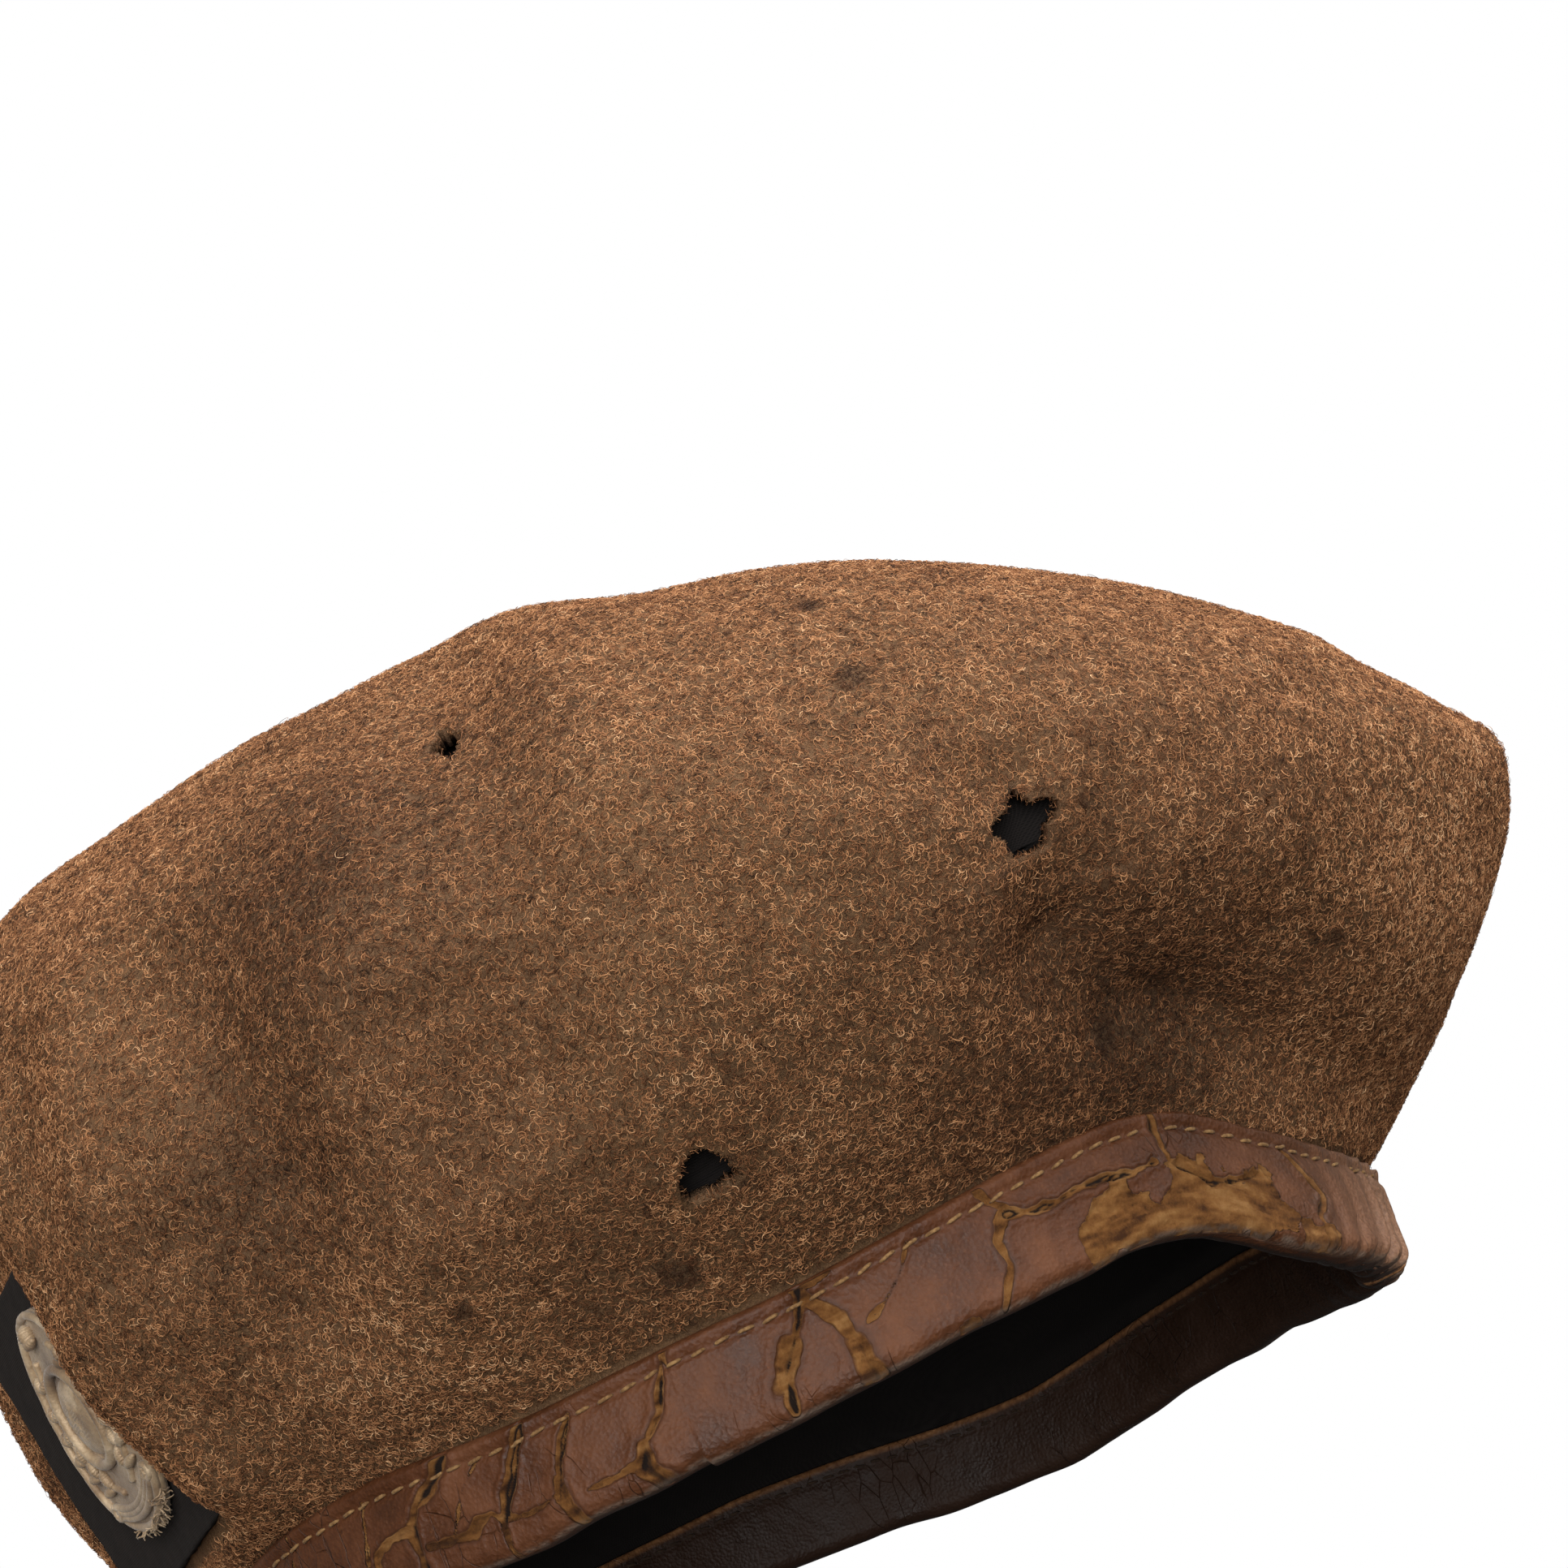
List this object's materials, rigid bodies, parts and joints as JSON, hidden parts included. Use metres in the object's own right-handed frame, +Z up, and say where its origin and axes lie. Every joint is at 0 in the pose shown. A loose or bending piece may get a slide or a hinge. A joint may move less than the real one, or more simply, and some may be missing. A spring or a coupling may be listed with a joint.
{
  "type": "military felt beret",
  "caption": "Large-crowned wool felt beret with a leather-bound headband, a lining, a drawcord, vent eyelets and a padded cloth badge at the front left.",
  "frame": {"origin": "middle of the cap's footprint, on the plane the headband rests on", "axes": "+Z up through the crown; -Y the way the wearer faces; +X the wearer's left"},
  "size_m": [0.247, 0.257, 0.14],
  "materials": {
    "wool_felt": "matte brown wool felt with a short fibrous nap",
    "lining_cloth": "matte black cotton lining",
    "black_cloth": "matte black felt backing cloth",
    "fibre_board": "stiffened canvas",
    "dark_leather": "dark brown leather, cracked and worn",
    "tan_thread": "tan waxed sewing thread",
    "cotton_cord": "dark braided cotton cord",
    "blackened_metal": "blackened brass",
    "pale_thread": "tarnished pale metallic embroidery thread"
  },
  "bodies": {
    "cap": {"felt_body": "wool_felt", "lining_crown": "lining_cloth", "lining_side": "lining_cloth", "badge_stiffener": "fibre_board", "leather_binding": "dark_leather", "binding_stitching_outer": "tan_thread", "binding_stitching_inner": "tan_thread", "drawcord": "cotton_cord", "eyelet_front": "blackened_metal", "eyelet_rear": "blackened_metal", "eyelet_washer_front": "blackened_metal", "eyelet_washer_rear": "blackened_metal", "badge_backing": "black_cloth", "badge_base": "pale_thread", "badge_boss": "pale_thread", "badge_boss_cord": "pale_thread", "badge_spray_left": "pale_thread", "badge_spray_right": "pale_thread", "badge_scroll": "pale_thread", "badge_finial": "pale_thread"},
    "tail_left": {"drawcord_tail_left": "cotton_cord"},
    "tail_right": {"drawcord_tail_right": "cotton_cord"}
  },
  "joints": [
    {"name": "drawcord_left_pull", "type": "slide", "parent": "cap", "child": "tail_left", "axis": [0.0262, 0, 0.9997], "range_m": [0, 0.01]},
    {"name": "drawcord_right_pull", "type": "slide", "parent": "cap", "child": "tail_right", "axis": [-0.0262, 0, 0.9997], "range_m": [0, 0.01]}
  ]
}
